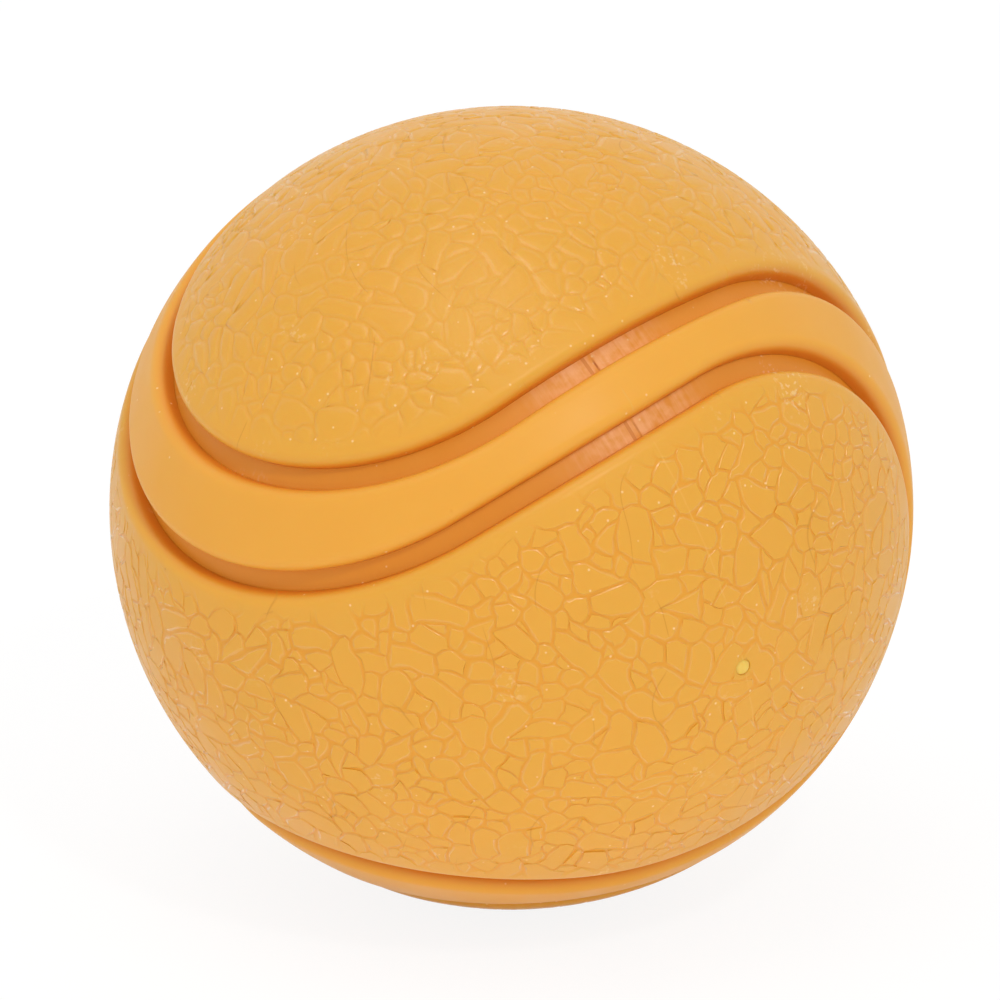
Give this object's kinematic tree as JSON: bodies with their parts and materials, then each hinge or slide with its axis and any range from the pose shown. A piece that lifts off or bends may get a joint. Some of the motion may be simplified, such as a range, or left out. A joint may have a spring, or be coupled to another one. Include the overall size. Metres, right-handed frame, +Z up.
{
  "type": "dog ball",
  "caption": "Hollow rubber fetch ball with grained dog-bone panels, a smooth raised band and grooves along a tennis-ball seam.",
  "frame": {"origin": "centre of the ball", "axes": "+Z up as the ball lies, with -Z through the point that touches the ground; the front of the ball faces -Y"},
  "size_m": [0.063, 0.063, 0.063],
  "materials": {
    "grained_rubber": "moulded leather grain, satin",
    "smooth_rubber": "smooth satin",
    "core_rubber": "matt with fine tool lines",
    "rubber_cement": "matt",
    "plug_rubber": "satin"
  },
  "bodies": {
    "root": {"core_cup_upper": "core_rubber", "core_cup_lower": "core_rubber", "core_cement": "rubber_cement", "upper_panel": "grained_rubber", "lower_panel": "grained_rubber", "seam_band": "smooth_rubber", "vent_plug": "plug_rubber"}
  },
  "joints": []
}
